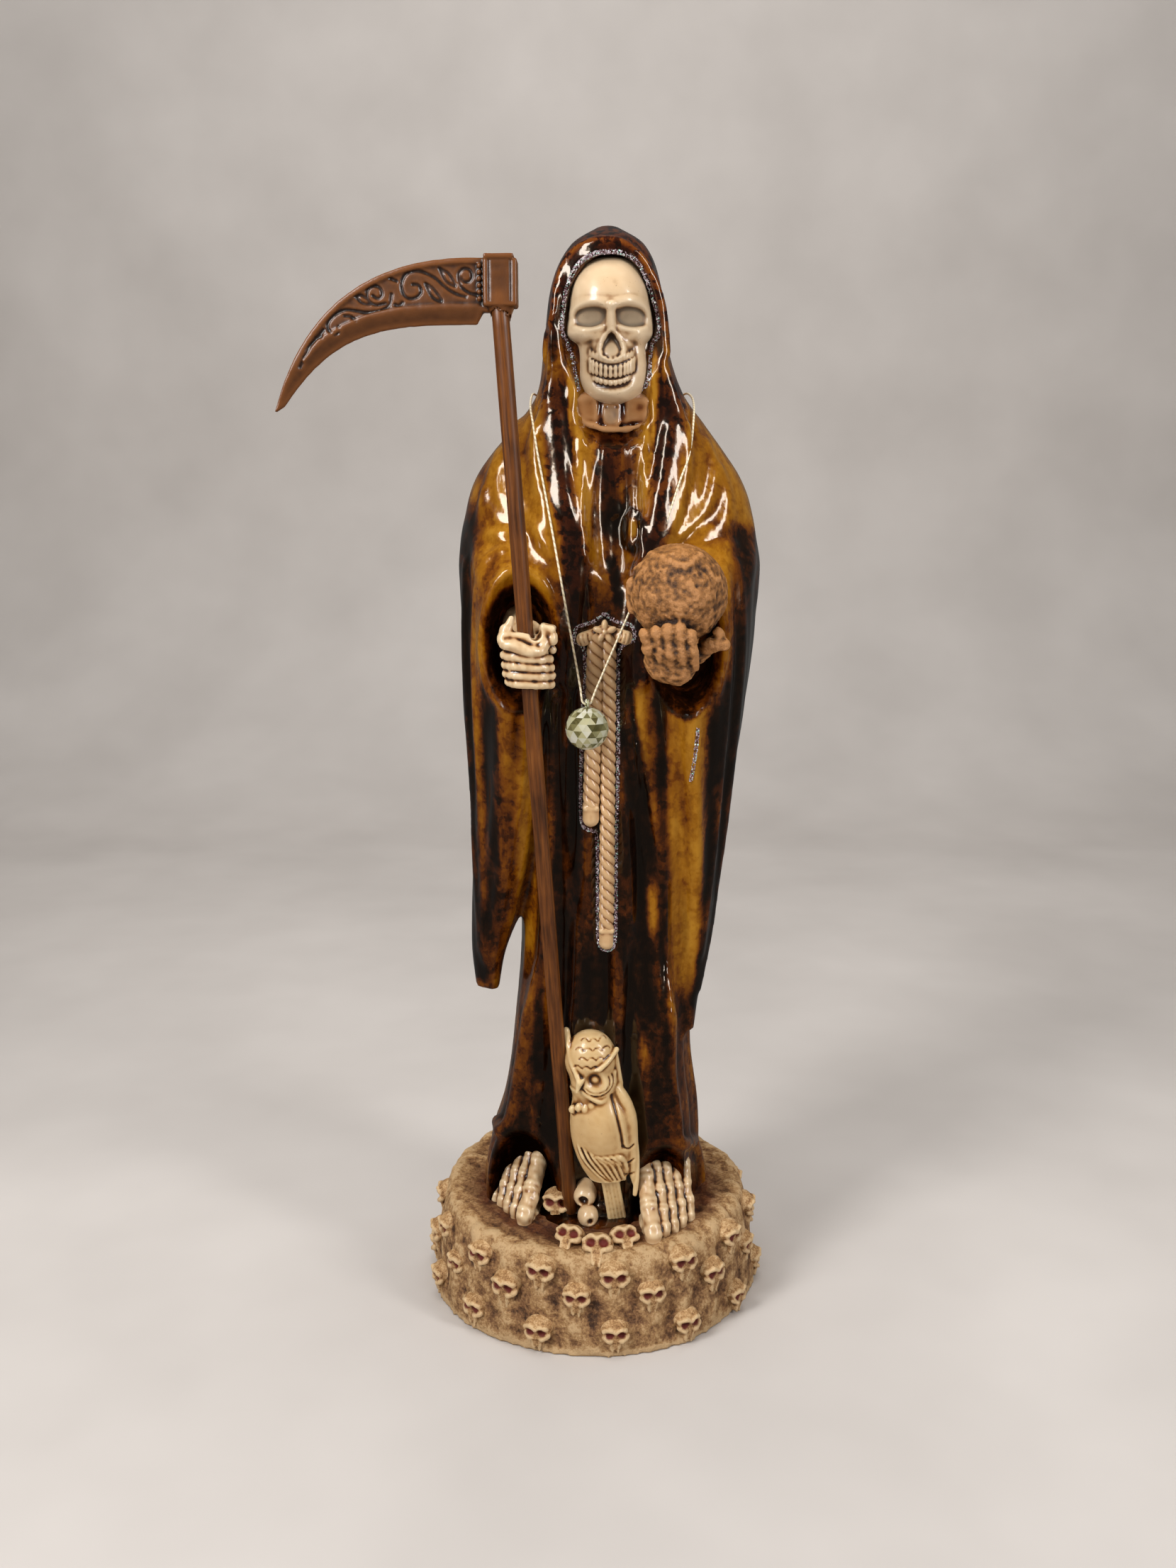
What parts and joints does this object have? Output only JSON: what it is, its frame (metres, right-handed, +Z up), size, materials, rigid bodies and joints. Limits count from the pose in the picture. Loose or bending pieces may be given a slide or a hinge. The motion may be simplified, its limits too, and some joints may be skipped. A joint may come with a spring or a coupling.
{
  "type": "santa muerte figure",
  "caption": "Standing robed skeleton figure on a round base, with a scythe, a globe, an owl and a crystal ball on a neck cord.",
  "frame": {"origin": "middle of the round base's flat underside", "axes": "+Z up, the figure faces -Y, +X to the viewer's right"},
  "size_m": [0.2244, 0.1965, 0.54],
  "materials": {
    "amber_resin": "gloss",
    "bone_paint": "satin",
    "sandy_base": "matte",
    "rough_clay": "matte",
    "stained_wood": "satin",
    "brown_cast": "satin",
    "pale_cord": "matte",
    "clear_crystal": "gloss",
    "glitter": "gloss"
  },
  "bodies": {
    "root": {"figure": "amber_resin", "scythe_pole": "stained_wood", "scythe_blade": "brown_cast", "necklace_cord": "pale_cord", "crystal_ball": "clear_crystal"}
  },
  "joints": []
}
